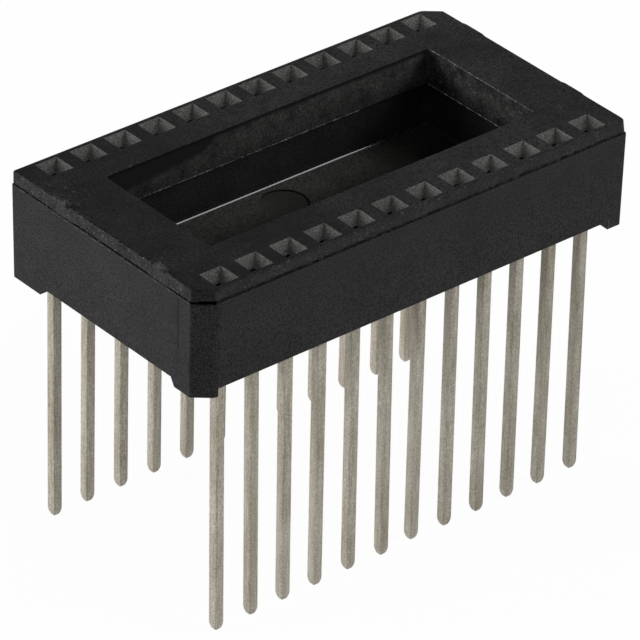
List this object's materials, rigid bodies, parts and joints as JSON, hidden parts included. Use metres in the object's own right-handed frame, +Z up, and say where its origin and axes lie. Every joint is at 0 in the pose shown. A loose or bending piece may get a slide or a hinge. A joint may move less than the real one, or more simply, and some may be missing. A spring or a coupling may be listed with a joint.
{
  "type": "dip socket",
  "caption": "Wide dual-in-line chip socket: moulded body with an open centre well, a staked cover of square lead-in funnels, and long square wire-wrap posts.",
  "frame": {"origin": "centre of the contact grid on the seating plane, where the four feet stand on the board", "axes": "+X along the contact rows towards the far end, +Y from the front row to the back row, +Z up through the cover; the posts reach down below the origin"},
  "size_m": [0.0324, 0.0176, 0.0247],
  "materials": {
    "body_plastic": "black glass-filled moulding, fine matte texture",
    "cover_plastic": "black glass-filled moulding, matte, paler in the funnels",
    "contact_metal": "dull tin plate over phosphor bronze"
  },
  "bodies": {
    "root": {"body": "body_plastic", "cover": "cover_plastic", "contact_01": "contact_metal", "contact_02": "contact_metal", "contact_03": "contact_metal", "contact_04": "contact_metal", "contact_05": "contact_metal", "contact_06": "contact_metal", "contact_07": "contact_metal", "contact_08": "contact_metal", "contact_09": "contact_metal", "contact_10": "contact_metal", "contact_11": "contact_metal", "contact_12": "contact_metal", "contact_13": "contact_metal", "contact_14": "contact_metal", "contact_15": "contact_metal", "contact_16": "contact_metal", "contact_17": "contact_metal", "contact_18": "contact_metal", "contact_19": "contact_metal", "contact_20": "contact_metal", "contact_21": "contact_metal", "contact_22": "contact_metal", "contact_23": "contact_metal", "contact_24": "contact_metal"}
  },
  "joints": []
}
